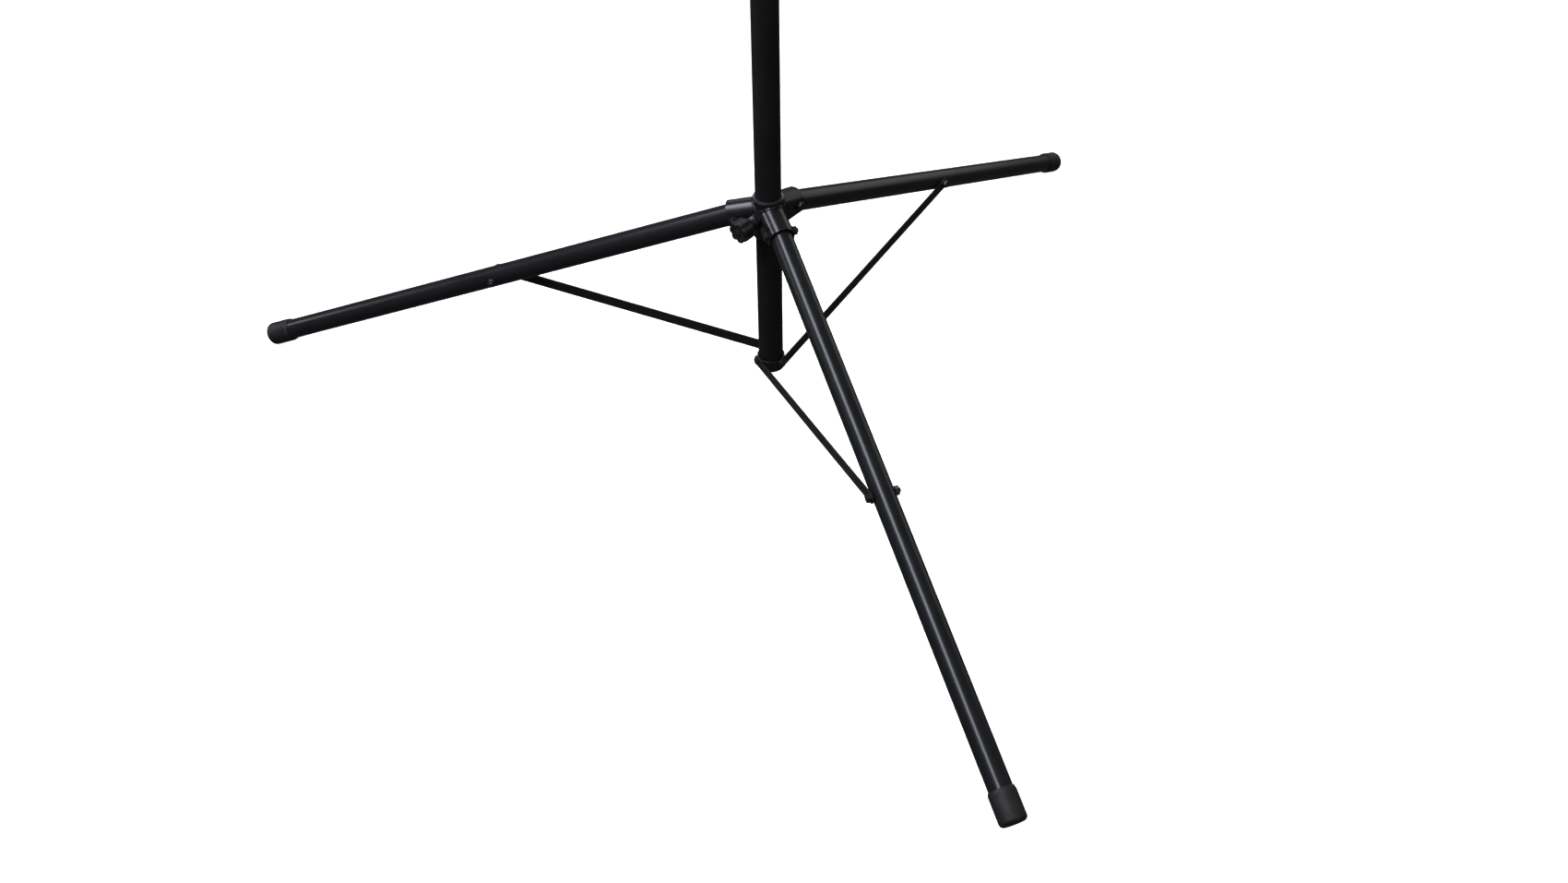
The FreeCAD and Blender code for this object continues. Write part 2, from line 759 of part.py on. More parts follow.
def make_mast():
    tube = new_body("mast_tube")
    ring = circle(sketch_on(tube, "XY_Plane", MAST_BOTTOM), MAST_R)
    pad(circle(ring, f"{MAST_R} - mast_wall"), "mast_length")
    keep("mast_tube", tube)

    glide = new_body("mast_glide")
    skirt, spigot = f"{POST_BORE_R} - slide_gap", f"({MAST_R} - mast_wall)"
    profile = [
        ("0", f"{MAST_BOTTOM} - glide_length"),
        (skirt, f"{MAST_BOTTOM} - glide_length"),
        (skirt, MAST_BOTTOM),
        (spigot, MAST_BOTTOM),
        (spigot, f"{MAST_BOTTOM} + glide_length"),
        ("0", f"{MAST_BOTTOM} + glide_length"),
    ]
    revolve(outline(sketch_on(glide, "XZ_Plane"), profile))
    keep("mast_glide", glide)


def make_tilt_head():
    head = new_body("tilt_head")
    low, roof = f"{MAST_TOP} - head_sleeve", f"{MAST_TOP} + head_roof"
    profile = [
        (MAST_R, low),
        (HEAD_R, low),
        (HEAD_R, roof),
        ("0", roof),
        ("0", MAST_TOP),
        (MAST_R, MAST_TOP),
    ]
    turning = revolve(outline(sketch_on(head, "XZ_Plane"), profile))
    rim = ring_at(2, value(roof), value(HEAD_R))
    round_edges(turning, rim, "head_roof / 3")
    half = "tab_width / 2"
    web = [(f"-{half}", MAST_TOP), (half, MAST_TOP), (half, TILT_Z), (f"-{half}", TILT_Z)]
    pad(outline(sketch_on(head, "YZ_Plane"), web), "tab_thick", symmetric=True)
    pad(circle(sketch_on(head, "YZ_Plane"), half, "0", TILT_Z), "tab_thick", symmetric=True)
    bolt_hole = circle(sketch_on(head, "YZ_Plane"), f"{SCREW_R} + pin_gap", "0", TILT_Z)
    pocket(bolt_hole, symmetric=True)
    keep("tilt_head", head)

    washers = []
    for label, start in (("left", "-tab_thick / 2 - washer_sheet"), ("right", "tab_thick / 2")):
        base = (start, "0", TILT_Z)
        disc = cylinder(f"{label}_washer_disc", WASHER_R, "washer_sheet", base, "X")
        hole = cylinder(f"{label}_washer_hole", f"{SCREW_R} + pin_gap", "washer_sheet", base, "X")
        washers.append(cut(f"{label}_washer", disc, hole))
    keep_group("tilt_washers", washers, [Placement()])


# ---- desk: folded panel, bracket, rivets, tilt bolt and its knob ----


def make_desk_panel():
    panel = new_body("desk_panel")
    face, back = "-desk_standoff - desk_sheet", "-desk_standoff"
    foot, top = "-tilt_above_ledge", "(desk_height - tilt_above_ledge)"
    front = "(-desk_standoff - desk_sheet - ledge_depth)"
    edge = f"{back} + desk_fold"
    profile = [
        (back, f"{foot} - desk_sheet"),
        (back, f"{top} - desk_sheet"),
        (edge, f"{top} - desk_sheet"),
        (edge, top),
        (face, top),
        (face, foot),
        (f"{front} + desk_sheet", foot),
        (f"{front} + desk_sheet", f"{foot} + ledge_lip"),
        (front, f"{foot} + ledge_lip"),
        (front, f"{foot} - desk_sheet"),
    ]
    sheet_metal = pad(outline(sketch_on(panel, "YZ_Plane"), profile), "desk_width", symmetric=True)
    outer = [
        (value(back), value(f"{foot} - desk_sheet")),
        (value(face), value(top)),
        (value(front), value(f"{foot} - desk_sheet")),
    ]
    inner = [
        (value(back), value(f"{top} - desk_sheet")),
        (value(face), value(foot)),
        (value(f"{front} + desk_sheet"), value(foot)),
    ]
    bent = round_edges(sheet_metal, line_at(0, outer), "desk_bend")
    round_edges(bent, line_at(0, inner), "desk_bend - desk_sheet")
    half = "desk_width / 2"
    low = f"{foot} + desk_bend"
    for side in ("-1", "1"):
        fold = [
            (back, low),
            (edge, low),
            (edge, f"{top} - desk_sheet"),
            (back, f"{top} - desk_sheet"),
        ]
        start = f"-{half}" if side == "-1" else f"{half} - desk_sheet"
        pad(outline(sketch_on(panel, "YZ_Plane", start), fold), "desk_sheet")
    return panel


def make_desk():
    frame = desk_frame()
    panel = make_desk_panel()
    across, along = "(bracket_width / 2 - bracket_inset)", "(bracket_height / 2 - bracket_inset)"
    corners = [(x, z) for x in (f"-{across}", across) for z in (f"-{along}", along)]
    holes = sketch_on(panel, "XZ_Plane", "desk_standoff")
    for x, z in corners:
        circle(holes, RIVET_R, x, z)
    pocket(holes, symmetric=True)
    keep("desk_panel", panel, frame)

    bracket = new_body("desk_bracket")
    plate_face = "(-desk_standoff)"
    plate_back = "(-desk_standoff + bracket_sheet)"
    half_width, half_height = "bracket_width / 2", "bracket_height / 2"
    plate = [
        (f"-{half_width}", f"-{half_height}"),
        (half_width, f"-{half_height}"),
        (half_width, half_height),
        (f"-{half_width}", half_height),
    ]
    pad(outline(sketch_on(bracket, "XZ_Plane", f"-{plate_back}"), plate), "bracket_sheet")
    ear_tip = "tab_width / 2"
    ear = [
        (plate_back, f"-{half_height} / 2"),
        ("0", f"-{ear_tip}"),
        ("0", ear_tip),
        (plate_back, f"{half_height} / 2"),
    ]
    for start in (f"-{EAR_GAP_HALF} - bracket_sheet", EAR_GAP_HALF):
        pad(outline(sketch_on(bracket, "YZ_Plane", start), ear), "bracket_sheet")
        pad(circle(sketch_on(bracket, "YZ_Plane", start), ear_tip), "bracket_sheet")
    pocket(circle(sketch_on(bracket, "YZ_Plane"), SCREW_R), symmetric=True)
    holes = sketch_on(bracket, "XZ_Plane", f"-{plate_back}")
    for x, z in corners:
        circle(holes, RIVET_R, x, z)
    pocket(holes, symmetric=True)
    keep("desk_bracket", bracket, frame)

    rivet = new_body("desk_rivet")
    grip_front = "-desk_standoff - desk_sheet"
    profile = [
        ("0", grip_front),
        (RIVET_R, grip_front),
        (RIVET_R, plate_back),
        (RIVET_HEAD_R, plate_back),
        (RIVET_HEAD_R, f"{plate_back} + rivet_head / 2"),
        (f"{RIVET_HEAD_R} / 2", f"{plate_back} + rivet_head"),
        ("0", f"{plate_back} + rivet_head"),
    ]
    revolve(outline(sketch_on(rivet, "XY_Plane"), profile))
    spots = [frame * Placement(Vector(value(x), 0, value(z)), Rotation()) for x, z in corners]
    keep_group("desk_rivets", [rivet], spots)

    face = f"({EAR_GAP_HALF} + bracket_sheet)"
    reach = f"2 * {face} + knob_neck + knob_head / 2"
    shank = cylinder("tilt_shank", SCREW_R, reach, (f"-{face}", "0", "0"), "X")
    head = cylinder("tilt_bolt_head", BOSS_R, "hex_head", (f"-{face} - hex_head", "0", "0"), "X")
    keep("tilt_bolt", fuse("tilt_bolt", shank, head), frame)

    knob = make_knob("tilt_knob_blank", f"{face} + face_gap")
    bore = cylinder("tilt_knob_bore", f"{SCREW_R} + pin_gap", f"{reach} - {face} + face_gap")
    turn = Placement(Vector(), turned((0, 1, 0), 90))
    keep("tilt_knob", cut("tilt_knob", knob, bore), frame * turn)


def check_and_write():
    doc.recompute()
    for item in doc.Objects:
        if any(word in item.State for word in ("Invalid", "Error")):
            raise RuntimeError(f"{item.Label} is {item.State}")
    for node, piece in pieces.items():
        if piece.Shape.isNull() or not piece.Shape.isValid() or not piece.Shape.Solids:
            raise RuntimeError(f"{node} has no valid solid")
    os.makedirs("parts", exist_ok=True)
    for node, piece in pieces.items():
        piece.Shape.exportStep(f"parts/{node}.step")
    print(f"{len(pieces)} pieces written")


make_post()
make_hub()
make_clamp_knobs()
for arm_name, arm_heading in ARMS.items():
    make_leg(arm_name, arm_heading)
    make_brace(arm_name, arm_heading)
make_height_clamp()
make_mast()
make_tilt_head()
make_desk()
check_and_write()
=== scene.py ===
import json
import math

import bmesh
import bpy
from mathutils import Matrix, Vector


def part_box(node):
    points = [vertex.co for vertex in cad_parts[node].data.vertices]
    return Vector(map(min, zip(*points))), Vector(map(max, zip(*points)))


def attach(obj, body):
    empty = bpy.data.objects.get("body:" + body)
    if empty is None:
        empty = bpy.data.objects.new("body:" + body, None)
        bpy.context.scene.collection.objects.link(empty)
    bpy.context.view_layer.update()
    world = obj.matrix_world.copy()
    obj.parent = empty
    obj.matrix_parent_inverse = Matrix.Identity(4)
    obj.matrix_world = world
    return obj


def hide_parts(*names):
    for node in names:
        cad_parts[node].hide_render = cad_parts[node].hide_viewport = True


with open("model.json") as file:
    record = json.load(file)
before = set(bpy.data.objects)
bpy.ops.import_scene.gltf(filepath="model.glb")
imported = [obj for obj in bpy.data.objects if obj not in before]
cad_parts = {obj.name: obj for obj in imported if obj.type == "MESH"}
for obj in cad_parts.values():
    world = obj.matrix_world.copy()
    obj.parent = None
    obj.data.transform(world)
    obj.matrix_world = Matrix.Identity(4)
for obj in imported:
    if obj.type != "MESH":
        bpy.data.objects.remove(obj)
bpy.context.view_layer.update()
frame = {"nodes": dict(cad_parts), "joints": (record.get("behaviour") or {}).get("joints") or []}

MM = 0.001
ARMS = {"front": -90.0, "right": 30.0, "left": 150.0}  # headings in degrees
JOINTS = {joint["name"]: joint for joint in frame["joints"]}
UP = Vector((0, 0, 1))

# Sizes in millimetres, the same as the CAD part's.
POST_R, POST_BORE_R = 12.7, 11.2
PLUG_FLANGE, PLUG_SPIGOT = 2.0, 3.5
LEG_R, LEG_BORE_R, LEG_REACH, LEG_STUB = 10.65, 9.45, 577.0, 4.0
FOOT_R, FOOT_CUP, FOOT_SOLE = 12.3, 24.0, 5.0
SLEEVE_R, SLEEVE_BORE_R, SLEEVE_ABOVE, SLEEVE_BELOW = 15.25, 13.9, 22.5, 20.0
LINER_BORE_R, LINER_FLANGE = 12.8, 1.0
PIVOT_X = 31.75
SOCKET_R, SOCKET_SHEET, SOCKET_RISE = 12.75, 1.5, 0.8
SOCKET_SLOPE, SOCKET_END, SOCKET_SKIRT = 15.5, 6.5, 8.0
COLLAR_R, COLLAR_ABOVE, COLLAR_BELOW = 14.2, 5.0, 9.0
BRACE_AT, BRACE_HALF, BRACE_SHEET, BRACE_GAP = 279.0, 5.75, 1.5, 0.3
RIVET_R, RIVET_HEAD_R, RIVET_HEAD = 2.5, 4.25, 2.0
BOLT_R, HEX_ACROSS, HEX_HEAD, HEX_NUT = 2.5, 8.0, 3.5, 4.0
THREAD_END, FACE_GAP = 1.5, 0.3
KNOB_R, KNOB_HEAD, KNOB_NECK_R, KNOB_NECK = 11.0, 13.0, 6.5, 5.0
KNOB_LOBES, SCALLOP_R = 7, 3.2
SCREW_BORE_R = 3.1
BOSS_R, BOSS_LENGTH = 7.0, 11.75
CLAMP_R, CLAMP_LENGTH, CLAMP_LID = 16.5, 38.0, 3.0
MAST_R, MAST_BORE_R = 10.0, 8.8
HEAD_R, HEAD_SLEEVE, HEAD_ROOF = 12.5, 25.0, 5.0
TAB_HALF, TAB_R = 4.0, 11.0
WASHER_SHEET, WASHER_R = 1.0, 9.0
BRACKET_SHEET, BRACKET_GAP = 2.5, 0.2
TILT_BOLT_R, TILT_HEAD_R, TILT_HEAD = 3.0, 7.0, 3.5
DESK_LEAN = 25.0

# Details that only the looks have, in millimetres, and the sharpest angles left uneased, in degrees.
WELD_BEAD, WELD_RIPPLE = 1.9, 0.10
THREAD_PITCH, SCALLOP_BLEND = 0.8, 0.8
SEAM_GAP, CAD_EDGE = 0.01, 0.25
EDGE_ANGLE, CAD_EDGE_ANGLE = 32.0, 40.0

# The view and the studio, in metres and degrees; the lens and its sensor are in millimetres.
CAMERA_SPOT = (-0.38068, -1.08222, 1.01750)
CAMERA_TURN, CAMERA_DOWN, CAMERA_ROLL = -20.016, 43.483, -0.589
CAMERA_LENS, CAMERA_SENSOR = 32.79, 36.0
FLOOR_R, COVE_R, WALL_TOP = 8.0, 3.0, 12.0
PAPER_GLOW = 1.05


# ---- camera ----


def make_camera():
    """The photograph's view: 43.5 degrees down, from the player's left."""
    data = bpy.data.cameras.new("camera")
    data.lens = CAMERA_LENS
    data.sensor_width = CAMERA_SENSOR
    data.clip_start, data.clip_end = 0.05, 60.0
    camera = bpy.data.objects.new("camera", data)
    bpy.context.scene.collection.objects.link(camera)
    turn = Matrix.Rotation(math.radians(CAMERA_TURN), 4, "Z")
    tilt = Matrix.Rotation(math.radians(90 - CAMERA_DOWN), 4, "X")
    roll = Matrix.Rotation(math.radians(CAMERA_ROLL), 4, "Z")
    camera.matrix_world = Matrix.Translation(CAMERA_SPOT) @ turn @ tilt @ roll
    bpy.context.scene.camera = camera


# ---- materials ----

DUST = (0.055, 0.055, 0.06)
HAIRLINE = (0.040, 0.041, 0.046)
SCUFF = (0.05, 0.05, 0.048)
WORN = (0.06, 0.06, 0.062)


class Nodes:
    """A short way to write one material's node tree."""

    def __init__(self, name):
        self.material = bpy.data.materials.new(name)
        self.material.use_nodes = True
        self.tree = self.material.node_tree
        self.shader = self.tree.nodes["Principled BSDF"]
        coordinates = self.tree.nodes.new("ShaderNodeTexCoord")
        self.place = coordinates.outputs["Object"]

    def add(self, kind, links=(), **settings):
        """A node of some kind: its inputs or properties set, and outputs linked to its inputs."""
        node = self.tree.nodes.new(kind)
        for key, number in settings.items():
            if key in node.inputs:
                node.inputs[key].default_value = number
            else:
                setattr(node, key, number)
        for key, output in links:
            self.tree.links.new(output, node.inputs[key])
        return node

    def noise(self, scale, detail=3.0, rough=0.55, stretch=None):
        """Noise from 0 to 1, finer at a higher scale; a stretch packs it closer along an axis."""
        vector = self.place
        if stretch:
            mapping = self.add("ShaderNodeMapping", [("Vector", vector)])
            mapping.inputs["Scale"].default_value = stretch
            vector = mapping.outputs["Vector"]
        settings = {"Scale": scale, "Detail": detail, "Roughness": rough}
        return self.add("ShaderNodeTexNoise", [("Vector", vector)], **settings).outputs["Fac"]

    def ramp(self, factor, stops):
        node = self.add("ShaderNodeValToRGB", [("Fac", factor)])
        ramp = node.color_ramp
        while len(ramp.elements) < len(stops):
            ramp.elements.new(0.5)
        for element, (place, colour) in zip(ramp.elements, stops):
            element.position = place
            element.color = (*colour, 1.0) if len(colour) == 3 else colour
        return node.outputs["Color"]

    def span(self, factor, low, high, start=0.3, stop=0.7):
        """A factor from start to stop as a value from low to high."""
        node = self.add(
            "ShaderNodeMapRange",
            [("Value", factor)],
            **{"From Min": start, "From Max": stop, "To Min": low, "To Max": high},
        )
        return node.outputs["Result"]

    def mix(self, factor, first, second):
        node = self.tree.nodes.new("ShaderNodeMix")
        node.data_type = "RGBA"
        self.tree.links.new(factor, node.inputs[0])
        for index, source in ((6, first), (7, second)):
            if isinstance(source, tuple):
                node.inputs[index].default_value = (*source, 1.0)
            else:
                self.tree.links.new(source, node.inputs[index])
        return node.outputs[2]

    def bump(self, height, strength, distance, normal=None):
        links = [("Height", height)]
        if normal is not None:
            links.append(("Normal", normal))
        node = self.add("ShaderNodeBump", links, Strength=strength, Distance=distance)
        return node.outputs["Normal"]

    def feed(self, socket, output):
        self.tree.links.new(output, self.shader.inputs[socket])

    def fixed(self, **numbers):
        for key, number in numbers.items():
            self.shader.inputs[key.replace("_", " ")].default_value = number


def paint(name, colour, rough, specular, peel=0.10, grain=0.25, grain_scale=1500.0, dust=0.10):
    """Baked black paint: orange peel, fine grain, faint dust and a few rubbed hairlines."""
    made = Nodes(name)
    tone = made.noise(34.0, 5.0)
    light = tuple(min(1.0, c * 1.4 + 0.0006) for c in colour)
    base = made.ramp(tone, [(0.32, colour), (0.72, light)])
    speck = made.noise(900.0, 2.0, 0.7)
    dusted = made.mix(made.span(speck, 0.0, dust, 0.60, 0.80), base, DUST)
    scratch = made.noise(55.0, 3.0, 0.6, (0.35, 9.0, 9.0))
    rubbed = made.mix(made.span(scratch, 0.0, 0.10, 0.50, 0.90), dusted, HAIRLINE)
    made.feed("Base Color", rubbed)
    made.feed("Roughness", made.span(made.noise(120.0, 2.0), rough - 0.012, rough + 0.018, 0.1, 0.9))
    skin = made.bump(made.noise(210.0, 2.0, 0.5), peel, 0.0006)
    made.feed("Normal", made.bump(made.noise(grain_scale, 2.0, 0.6), grain, 0.00012, skin))
    made.fixed(Specular_IOR_Level=specular)
    return made.material


def rubber(name, colour):
    """Moulded rubber: matt, slightly mottled, with greyer scuffs."""
    made = Nodes(name)
    base = made.ramp(made.noise(70.0, 5.0), [(0.3, colour), (0.75, tuple(c * 1.9 for c in colour))])
    scuff = made.noise(160.0, 6.0, 0.8, (1.0, 0.3, 1.0))
    made.feed("Base Color", made.mix(made.span(scuff, 0.0, 0.4, 0.58, 0.78), base, SCUFF))
    made.feed("Roughness", made.span(made.noise(240.0, 3.0), 0.50, 0.68))
    coarse = made.bump(made.noise(420.0, 3.0, 0.6), 0.25, 0.0005)
    made.feed("Normal", made.bump(made.noise(2600.0, 2.0), 0.3, 0.00015, coarse))
    made.fixed(Specular_IOR_Level=0.4)
    return made.material


def plastic(name, colour, rough, grain):
    """Moulded plastic with a spark-eroded grain."""
    made = Nodes(name)
    base = made.ramp(made.noise(90.0, 4.0), [(0.3, colour), (0.75, tuple(c * 1.5 for c in colour))])
    wear = made.noise(260.0, 5.0, 0.7)
    made.feed("Base Color", made.mix(made.span(wear, 0.0, 0.25, 0.6, 0.8), base, WORN))
    made.feed("Roughness", made.span(made.noise(300.0, 3.0), rough - 0.06, rough + 0.08))
    pits = made.add("ShaderNodeTexVoronoi", [("Vector", made.place)], Scale=1300.0)
    made.feed("Normal", made.bump(pits.outputs["Distance"], grain, 0.00018))
    made.fixed(Specular_IOR_Level=0.32)
    return made.material


def blackened(name, colour, rough, metallic):
    """Blackened steel: thin oxide over metal, brighter where it is rubbed."""
    made = Nodes(name)
    base = made.ramp(made.noise(180.0, 6.0, 0.7), [(0.35, colour), (0.7, tuple(c * 2.2 for c in colour))])
    rub = made.noise(520.0, 5.0, 0.75)
    made.feed("Base Color", made.mix(made.span(rub, 0.0, 0.5, 0.60, 0.78), base, WORN))
    made.feed("Roughness", made.span(made.noise(400.0, 4.0), rough - 0.08, rough + 0.10))
    made.feed("Normal", made.bump(made.noise(900.0, 3.0), 0.25, 0.0002))
    made.fixed(Metallic=metallic, Specular_IOR_Level=0.5)
    return made.material


def make_materials():
    """Every slot's material, and liner_painted_highlight, which one black_plastic piece wears: black_plastic
    in a lighter grey, the lighter grey being a painted highlight.
    """
    glossy = {"grain": 0.04, "dust": 0.02}
    paints = {
        "post_paint": ((0.0098, 0.0094, 0.0090), 0.48, 0.14, {"dust": 0.03}),
        "leg_paint": ((0.0074, 0.0074, 0.0086), 0.28, 0.38, {"peel": 0.03, **glossy}),
        "hub_paint": ((0.0066, 0.0066, 0.0078), 0.25, 0.42, {"peel": 0.04, **glossy}),
        "mast_paint": ((0.0036, 0.0035, 0.0037), 0.40, 0.25, {"dust": 0.05}),
        "bracket_paint": ((0.0075, 0.0075, 0.0075), 0.42, 0.34, {"grain": 0.2, "dust": 0.05}),
        "brace_paint": ((0.0125, 0.0112, 0.0092), 0.46, 0.28, {"grain": 0.15, "dust": 0.05}),
        "desk_paint": ((0.0090, 0.0090, 0.0095), 0.44, 0.36, {"peel": 0.08, "grain_scale": 1100.0}),
    }
    made = {
        name: paint(name, colour, rough, specular, **finer)
        for name, (colour, rough, specular, finer) in paints.items()
    }
    made["foot_rubber"] = rubber("foot_rubber", (0.0075, 0.0075, 0.0075))
    made["black_plastic"] = plastic("black_plastic", (0.010, 0.010, 0.010), 0.48, 0.25)
    # liner_painted_highlight is black plastic made glossier and lighter grey: the lower roughness is its
    # gloss, the lighter grey is a painted highlight for the liner's bright rim.
    made["liner_painted_highlight"] = plastic("liner_painted_highlight", (0.022, 0.022, 0.023), 0.34, 0.10)
    made["knob_plastic"] = plastic("knob_plastic", (0.0065, 0.0065, 0.0068), 0.55, 0.40)
    made["fastener"] = blackened("fastener", (0.010, 0.010, 0.011), 0.42, 0.25)
    return made


# ---- mesh helpers; meshes are drawn in millimetres ----


def softened(corners, steps=5, closed=False):
    """Replace each (x, y, radius) corner of an outline with an arc of that radius."""
    points = []
    count = len(corners)
    for index, (x, y, radius) in enumerate(corners):
        here = Vector((x, y))
        if radius == 0 or (not closed and index in (0, count - 1)):
            points.append(here)
            continue
        back = (Vector(corners[index - 1][:2]) - here).normalized()
        ahead = (Vector(corners[(index + 1) % count][:2]) - here).normalized()
        half = back.angle(ahead) / 2
        centre = here + (back + ahead).normalized() * (radius / math.sin(half))
        first = here + back * (radius / math.tan(half)) - centre
        last = here + ahead * (radius / math.tan(half)) - centre
        turn = math.atan2(first.x * last.y - first.y * last.x, first.dot(last))
        for step in range(steps + 1):
            spin = Matrix.Rotation(turn * step / steps, 2)
            points.append(centre + spin @ first)
    return points


def skin(mesh, rings, loop=False):
    """Faces between consecutive rings of vertices; a ring of one vertex is a tip."""
    pairs = list(zip(rings, rings[1:]))
    if loop:
        pairs.append((rings[-1], rings[0]))
    for lower, upper in pairs:
        count = max(len(lower), len(upper))
        for index in range(count):
            following = (index + 1) % count
            if len(lower) == 1:
                mesh.faces.new((lower[0], upper[index], upper[following]))
            elif len(upper) == 1:
                mesh.faces.new((lower[index], lower[following], upper[0]))
            else:
                mesh.faces.new((lower[index], lower[following], upper[following], upper[index]))


def strip(mesh, first, second):
    """Faces between two open rows of vertices."""
    for corners in zip(first, first[1:], second[1:], second):
        mesh.faces.new(corners)


def turns(count):
    """Equal angles once round."""
    return [math.tau * index / count for index in range(count)]


def ring(mesh, x, radius, angles):
    """A circle of vertices round the X axis."""
    return [mesh.verts.new((x, radius * math.cos(a), radius * math.sin(a))) for a in angles]


def lathe(mesh, profile, loop=False, segments=72):
    """Turn (x, radius) points round the X axis."""
    angles = turns(segments)
    rings = []
    for x, radius in profile:
        if radius < 1e-4:
            rings.append([mesh.verts.new((x, 0, 0))])
        else:
            rings.append(ring(mesh, x, radius, angles))
    skin(mesh, rings, loop)


def slab(mesh, outline, low, high, axis="Y"):
    """A flat plate: an outline in the plane across an axis, between two heights on it."""
    order = {"X": lambda a, b, h: (h, a, b), "Y": lambda a, b, h: (a, h, b)}
    place = order[axis]
    rings = [[mesh.verts.new(place(a, b, h)) for a, b in outline] for h in (low, high)]
    skin(mesh, rings)
    mesh.faces.new(rings[0])
    mesh.faces.new(rings[1])


def hexagon(mesh, x, height, crown=True):
    """A hex head or nut along +X, its outer corners cut back by a cone; a head's top is dished."""
    flat = HEX_ACROSS / 2
    cone = flat * 0.96
    dish, dish_depth = cone * 0.72, 0.25
    top = x + height
    angles = turns(72)
    reach = [flat / math.cos((a + math.pi / 6) % (math.pi / 3) - math.pi / 6) for a in angles]
    corners = [(a, r, top - (r - cone) * 0.45) for a, r in zip(angles, reach)]
    rings = [
        ring(mesh, x, cone, angles),
        [mesh.verts.new((x + 0.15, r * math.cos(a), r * math.sin(a))) for a, r, _ in corners],
        [mesh.verts.new((edge, r * math.cos(a), r * math.sin(a))) for a, r, edge in corners],
        ring(mesh, top, cone, angles),
    ]
    if crown:
        rings.append(ring(mesh, top, dish, angles))
        rings.append(ring(mesh, top - dish_depth, dish * 0.9, angles))
        rings.append([mesh.verts.new((top - dish_depth, 0, 0))])
    else:
        rings.append([mesh.verts.new((top, 0, 0))])
    rings.insert(0, [mesh.verts.new((x, 0, 0))])
    skin(mesh, rings)


def thread_end(mesh, start):
    """The end of a bolt's thread, with its turns and a chamfered tip."""
    root, tip, end = BOLT_R * 0.86, BOLT_R * 0.78, start + THREAD_END
    profile = [(start, 0), (start, root)]
    x = start
    while x + THREAD_PITCH <= end - 0.3:
        crest = [(x + THREAD_PITCH * share, BOLT_R) for share in (0.35, 0.55)]
        profile += [*crest, (x + THREAD_PITCH, root)]
        x += THREAD_PITCH
    profile += [(end, tip), (end, 0)]
    lathe(mesh, profile, segments=48)


def lobed(angle):
    """The radius of a knob's rim at an angle: a circle with scallops, blended where they meet."""
    centre = KNOB_R + SCALLOP_R / 2
    step = math.tau / KNOB_LOBES
    off = (angle + step / 2) % step - step / 2
    inside = SCALLOP_R**2 - (centre * math.sin(off)) ** 2
    if inside <= 0:
        return KNOB_R
    bite = centre * math.cos(off) - math.sqrt(inside)
    blend = max(SCALLOP_BLEND - abs(KNOB_R - bite), 0.0) / SCALLOP_BLEND
    return min(KNOB_R, bite) - blend * blend * SCALLOP_BLEND / 4


def knob(mesh, grip):
    """A lobed knob along +X from its grip height, with a neck and a dished face."""
    angles = turns(KNOB_LOBES * 24)
    base = grip + KNOB_NECK
    top = base + KNOB_HEAD
    under, over = 1.2, 1.9  # how far the rim's two edges are rounded

    def rim(x, share, offset):
        """Between the neck's circle (share 0) and the lobed rim (share 1), offset inward."""
        points = []
        for a in angles:
            r = (1 - share) * KNOB_NECK_R + share * lobed(a) - offset
            points.append(mesh.verts.new((x, r * math.cos(a), r * math.sin(a))))
        return points

    rings = [[mesh.verts.new((grip, 0, 0))], rim(grip, 0, 0.4), rim(grip + 0.4, 0, 0)]
    rings += [rim(base - 0.8, 0, 0), rim(base - 0.2, 0, -0.3), rim(base, 0.35, 0)]
    for turn in range(5):
        a = math.pi / 2 * turn / 4
        rings.append(rim(base + under * (1 - math.cos(a)), 1, under * (1 - math.sin(a))))
    rings.append(rim(base + KNOB_HEAD / 2, 1, 0))
    for turn in range(7):
        a = math.pi / 2 * turn / 6
        rings.append(rim(top - over * (1 - math.sin(a)), 1, over * (1 - math.cos(a))))
    rings.append(rim(top, 0.55, 0))
    for drop, offset in ((0.1, 0.2), (0.55, 0.7), (0.55, 3.4), (0.25, 3.8)):
        rings.append(rim(top - drop, 0, offset))
    rings.append([mesh.verts.new((top - 0.15, 0, 0))])
    skin(mesh, rings)


def frame_at(origin, along, up=UP):
    """Local X along a direction, Z as near to up as it can be; metres."""
    x = Vector(along).normalized()
    y = Vector(up).cross(x).normalized()
    z = x.cross(y)
    place = Matrix((x, y, z)).transposed().to_4x4()
    place.translation = Vector(origin)
    return place


def upright(level):
    """Local X straight up from the stand's axis at a level in metres."""
    return frame_at((0, 0, level), UP, (0, 1, 0))


def build(name, draw, body, slot, stands_for, place, bevel=0.0, segments=3, finish=None):
    """Draw a piece in millimetres, put it in its place and fix it to its body.

    A finish is a material other than the slot's own."""
    mesh = bmesh.new()
    draw(mesh)
    bmesh.ops.remove_doubles(mesh, verts=mesh.verts, dist=1e-5)
    bmesh.ops.recalc_face_normals(mesh, faces=mesh.faces)
    bmesh.ops.scale(mesh, vec=(MM, MM, MM), verts=mesh.verts)
    data = bpy.data.meshes.new(name)
    mesh.to_mesh(data)
    mesh.free()
    data.shade_smooth()
    piece = bpy.data.objects.new(name, data)
    bpy.context.scene.collection.objects.link(piece)
    piece.matrix_world = place
    data.materials.append(MATERIALS[finish or slot])
    if bevel:
        edge = piece.modifiers.new("edges", "BEVEL")
        edge.width = bevel * MM
        edge.segments = segments
        edge.limit_method = "ANGLE"
        edge.angle_limit = math.radians(EDGE_ANGLE)
    normals = piece.modifiers.new("normals", "WEIGHTED_NORMAL")
    normals.keep_sharp = True
    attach(piece, body)
    if stands_for:
        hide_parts(*stands_for)
    return piece


def centre_of(node):
    """The middle of a CAD node's box, in metres."""
    low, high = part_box(node)
    return (low + high) / 2


